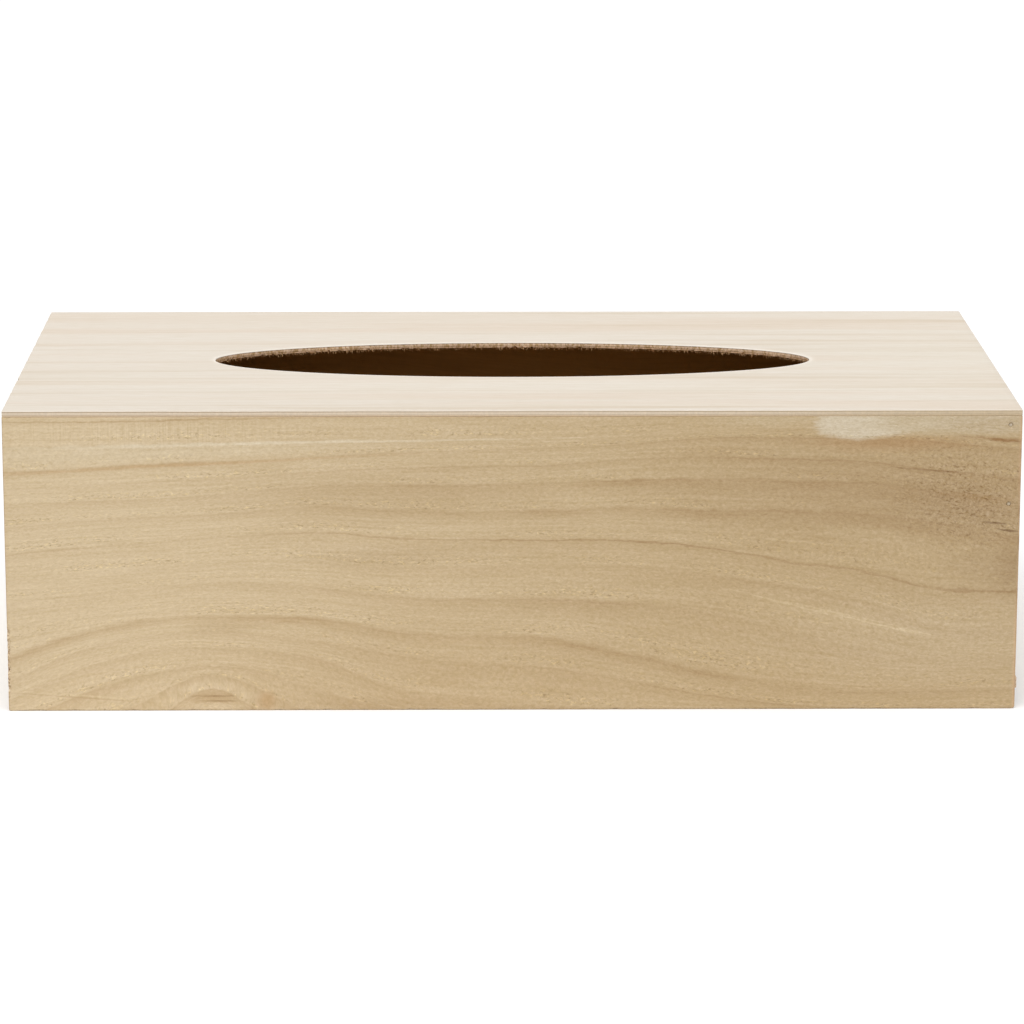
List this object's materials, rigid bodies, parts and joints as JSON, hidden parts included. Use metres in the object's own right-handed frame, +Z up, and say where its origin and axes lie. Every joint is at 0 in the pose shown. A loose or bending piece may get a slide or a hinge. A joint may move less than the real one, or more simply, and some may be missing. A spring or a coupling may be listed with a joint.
{
  "type": "tissue box cover",
  "caption": "Long low tissue box cover in bare wood: butted and pinned boards, a thin plywood top with an oval slot, and a plywood base that slides out of grooves at the right-hand end.",
  "frame": {"origin": "middle of the foot, on the surface that the box stands on", "axes": "+X along the length to the right, the way the base draws out; -Y to the front; +Z up"},
  "size_m": [0.2608, 0.14, 0.079],
  "materials": {
    "board_wood": "bare sanded light hardwood, open grain",
    "top_plywood": "bare sanded pale veneer, fine straight grain, plies showing at the edge",
    "base_plywood": "bare pale veneer, sawn edges",
    "pin_steel": "dull drawn wire"
  },
  "bodies": {
    "cover": {"top_panel": "top_plywood", "front_board": "board_wood", "back_board": "board_wood", "left_end_board": "board_wood", "right_end_board": "board_wood", "front_left_pins": "pin_steel", "front_right_pins": "pin_steel", "back_left_pins": "pin_steel", "back_right_pins": "pin_steel"},
    "base": {"base_panel": "base_plywood"}
  },
  "joints": [
    {"name": "base_slide", "type": "slide", "parent": "cover", "child": "base", "axis": [1, 0, 0], "range_m": [0, 0.258]}
  ]
}
